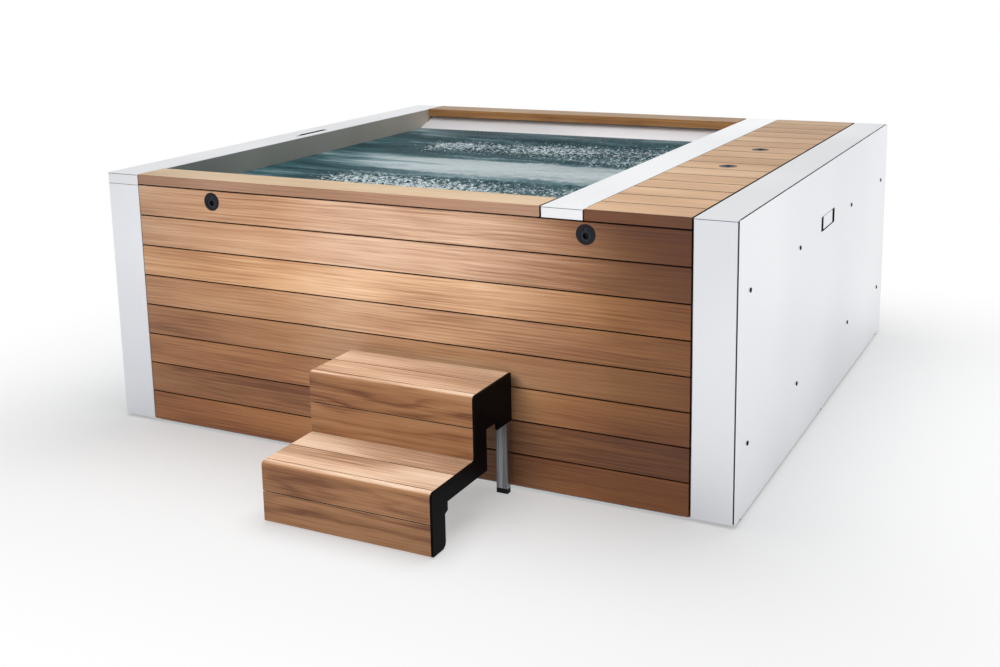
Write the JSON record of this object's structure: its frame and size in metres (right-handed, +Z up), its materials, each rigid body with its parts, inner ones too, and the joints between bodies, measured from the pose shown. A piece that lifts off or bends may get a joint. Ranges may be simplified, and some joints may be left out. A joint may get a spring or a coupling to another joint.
{
  "type": "hot tub",
  "caption": "Square steel hot tub with timber cladding, steel rims, an equipment bay under a slatted deck, jets, seats, and a two-tread timber step in front.",
  "frame": {"origin": "on the ground, in the middle of the area that the tub and its step cover", "axes": "+X to the right as seen from the step, +Y from the step towards the back of the tub, +Z up"},
  "size_m": [2.28, 2.671, 0.9],
  "materials": {
    "steel_sheet": "satin",
    "tank_steel": "satin",
    "frame_steel": "matt zinc grey",
    "panel_wood": "oiled",
    "cap_wood": "oiled",
    "deck_wood": "oiled",
    "batten_wood": "rough sawn",
    "foam": "closed cell foam",
    "black_metal": "satin powder coat",
    "bronze_black": "dark metallic",
    "screw_black": "black zinc",
    "black_plastic": "fine texture",
    "grey_plastic": "fine texture",
    "white_plastic": "smooth",
    "touch_glass": "glossy",
    "jet_steel": "polished",
    "lens": "frosted",
    "motor_paint": "enamel",
    "impeller_metal": "cast, satin",
    "brass": "turned",
    "red_plastic": "smooth",
    "rubber": "matt"
  },
  "bodies": {
    "tub": {"levelling_feet": "rubber", "base_frame": "frame_steel", "base_pan": "frame_steel", "frame_uprights": "frame_steel", "top_frame": "frame_steel", "tank": "tank_steel", "bench": "tank_steel", "tank_insulation": "foam", "left_rim": "steel_sheet", "mid_rim": "steel_sheet", "right_rim": "steel_sheet", "left_posts": "steel_sheet", "right_posts": "steel_sheet", "left_side_panel": "steel_sheet", "right_side_panel": "steel_sheet", "panel_screws": "screw_black", "front_cap": "cap_wood", "back_cap": "cap_wood", "back_planks": "panel_wood", "back_battens": "batten_wood", "clip_sockets": "black_plastic", "keypad_case": "grey_plastic", "keypad_glass": "touch_glass", "side_pull_housing": "black_metal", "jet_bodies": "grey_plastic", "jet_faces": "jet_steel", "suction_covers": "jet_steel", "skimmer_body": "white_plastic", "underwater_light": "lens", "pump_motor": "motor_paint", "pump_wet_end": "black_plastic", "air_blower": "black_plastic", "heater": "jet_steel", "control_box": "grey_plastic", "filter_canister": "grey_plastic", "water_pipes": "white_plastic", "drain_valve": "brass", "cable_gland": "black_plastic"},
    "front_panel": {"front_planks": "panel_wood", "front_battens": "batten_wood", "front_pull_cups": "bronze_black"},
    "front_ring_left": {"front_pull_ring_left": "bronze_black"},
    "front_ring_right": {"front_pull_ring_right": "bronze_black"},
    "front_lid": {"front_lid_slats": "deck_wood", "front_lid_tray": "frame_steel", "front_lid_cup": "bronze_black"},
    "front_lid_pull": {"front_lid_ring": "bronze_black"},
    "rear_lid": {"rear_lid_slats": "deck_wood", "rear_lid_tray": "frame_steel", "rear_lid_cup": "bronze_black"},
    "rear_lid_pull": {"rear_lid_ring": "bronze_black"},
    "side_flap": {"side_pull_flap": "steel_sheet"},
    "skimmer_flap": {"skimmer_weir": "white_plastic"},
    "pump_rotor": {"pump_impeller": "impeller_metal"},
    "drain_lever": {"drain_handle": "red_plastic"},
    "step": {"step_planks": "deck_wood", "step_side_plates": "black_metal", "step_frame": "steel_sheet", "step_feet": "rubber"}
  },
  "joints": [
    {"name": "front_panel_tilt", "type": "hinge", "parent": "tub", "child": "front_panel", "pos_m": [0, -0.8101, 0.01], "axis": [1, 0, 0], "range_deg": [0, 4]},
    {"name": "front_ring_left_swing", "type": "hinge", "parent": "front_panel", "child": "front_ring_left", "pos_m": [-0.684, -0.8115, 0.8445], "axis": [-1, 0, 0], "range_deg": [0, 90]},
    {"name": "front_ring_right_swing", "type": "hinge", "parent": "front_panel", "child": "front_ring_right", "pos_m": [0.682, -0.8115, 0.8445], "axis": [-1, 0, 0], "range_deg": [0, 90]},
    {"name": "front_lid_lift", "type": "slide", "parent": "tub", "child": "front_lid", "axis": [0, 0, 1], "range_m": [0, 0.15]},
    {"name": "front_lid_ring_swing", "type": "hinge", "parent": "front_lid", "child": "front_lid_pull", "pos_m": [0.839, 0.03906, 0.897], "axis": [1, 0, 0], "range_deg": [0, 90]},
    {"name": "rear_lid_lift", "type": "slide", "parent": "tub", "child": "rear_lid", "axis": [0, 0, 1], "range_m": [0, 0.15]},
    {"name": "rear_lid_ring_swing", "type": "hinge", "parent": "rear_lid", "child": "rear_lid_pull", "pos_m": [0.839, 0.44294, 0.897], "axis": [1, 0, 0], "range_deg": [0, 90]},
    {"name": "side_flap_swing", "type": "hinge", "parent": "tub", "child": "side_flap", "pos_m": [1.1365, 0.2605, 0.719], "axis": [0, -1, 0], "range_deg": [0, 75]},
    {"name": "skimmer_flap_tilt", "type": "hinge", "parent": "tub", "child": "skimmer_flap", "pos_m": [0.555, 0.2605, 0.752], "axis": [0, 1, 0], "range_deg": [0, 75]},
    {"name": "pump_spin", "type": "hinge", "parent": "tub", "child": "pump_rotor", "pos_m": [0.839, -0.2945, 0.2], "axis": [0, 1, 0], "continuous": true},
    {"name": "drain_lever_turn", "type": "hinge", "parent": "tub", "child": "drain_lever", "pos_m": [0.689, -0.5795, 0.25], "axis": [0, 0, 1], "range_deg": [0, 90]},
    {"name": "step_slide", "type": "slide", "parent": "tub", "child": "step", "axis": [0, -1, 0], "range_m": [0, 0.4]}
  ]
}
